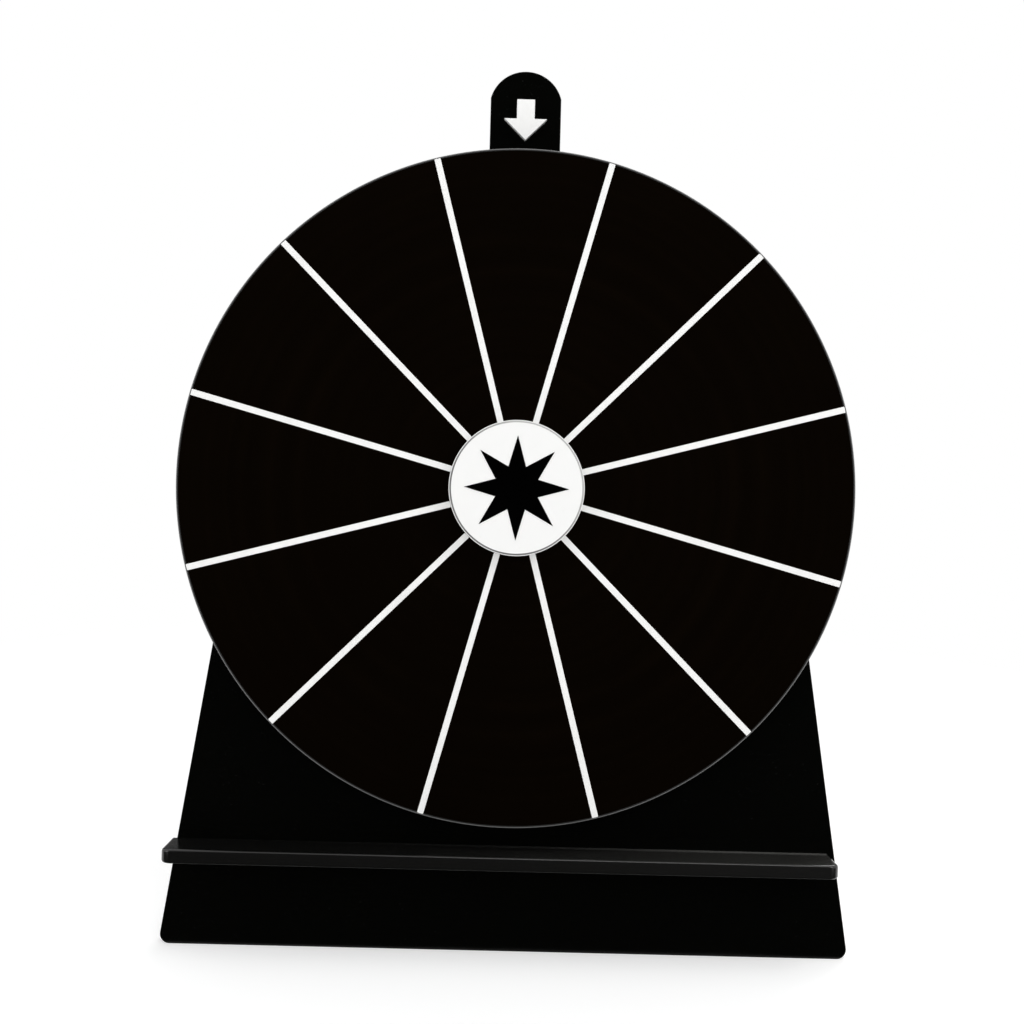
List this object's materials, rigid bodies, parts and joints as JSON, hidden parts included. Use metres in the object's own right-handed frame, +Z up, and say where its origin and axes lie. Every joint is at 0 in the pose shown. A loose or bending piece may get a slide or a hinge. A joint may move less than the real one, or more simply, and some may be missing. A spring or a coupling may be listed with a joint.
{
  "type": "tabletop prize wheel",
  "caption": "Tabletop prize wheel: a round black board with white divider lines spins on ball bearings on a leaning stand with an arrow pointer, a front ledge and a folding easel leg.",
  "frame": {"origin": "on the table, under the middle of the object's box", "axes": "+Z up, front facing -Y, +X to the right as seen from the front; the back board leans 10 degrees towards +Y"},
  "size_m": [0.3932, 0.1325, 0.4963],
  "materials": {
    "gloss_black": "gloss black sheet",
    "wheel_core": "matte black foam board",
    "face_film": "satin black film",
    "black_vinyl": "matte black film",
    "white_vinyl": "matte white film",
    "grey_trim": "satin grey strip",
    "white_plastic": "satin white plastic",
    "zinc_steel": "bright zinc",
    "black_steel": "black oxide",
    "hinge_steel": "brushed steel",
    "bearing_steel": "polished steel",
    "turned_aluminium": "turned",
    "nylon": "natural nylon",
    "rubber": "matte"
  },
  "bodies": {
    "stand": {"back_panel": "gloss_black", "pointer_arrow": "white_plastic", "marker_ledge": "gloss_black", "ledge_screws": "black_steel", "axle_bolt": "zinc_steel", "axle_rear_washer": "zinc_steel", "axle_front_washer": "zinc_steel", "axle_clamp_nut": "zinc_steel", "axle_sleeve": "zinc_steel", "bearing_inner_races": "bearing_steel", "bearing_spacer": "zinc_steel", "axle_end_washer": "zinc_steel", "axle_lock_nut": "zinc_steel", "hinge_panel_leaf": "hinge_steel", "hinge_pin": "hinge_steel", "hinge_panel_screws": "black_steel"},
    "wheel": {"wheel_board": "wheel_core", "face_sheet": "face_film", "divider_lines": "white_vinyl", "rim_band": "grey_trim", "bearing_housing": "turned_aluminium", "hub_bolts": "zinc_steel", "hub_nuts": "zinc_steel", "bearing_outer_races": "bearing_steel", "bearing_shields": "bearing_steel", "hub_cap": "white_plastic", "hub_star": "black_vinyl"},
    "ball_set": {"bearing_balls": "bearing_steel", "ball_cages": "nylon"},
    "leg": {"easel_leg": "gloss_black", "hinge_leg_leaf": "hinge_steel", "hinge_leg_screws": "black_steel", "leg_foot_pad": "rubber"}
  },
  "joints": [
    {"name": "wheel_spin", "type": "hinge", "parent": "stand", "child": "wheel", "pos_m": [0, 0.00895, 0.26097], "axis": [0, -0.9848, 0.1736], "continuous": true},
    {"name": "ball_roll", "type": "hinge", "parent": "stand", "child": "ball_set", "pos_m": [0, 0.00895, 0.26097], "axis": [0, -0.9848, 0.1736], "continuous": true},
    {"name": "leg_fold", "type": "hinge", "parent": "stand", "child": "leg", "pos_m": [0, 0.01081, 0.20988], "axis": [1, 0, 0], "range_deg": [-22, 0]}
  ],
  "couplings": [
    {"joint": "ball_roll", "follows": "wheel_spin", "ratio": 0.62765}
  ]
}
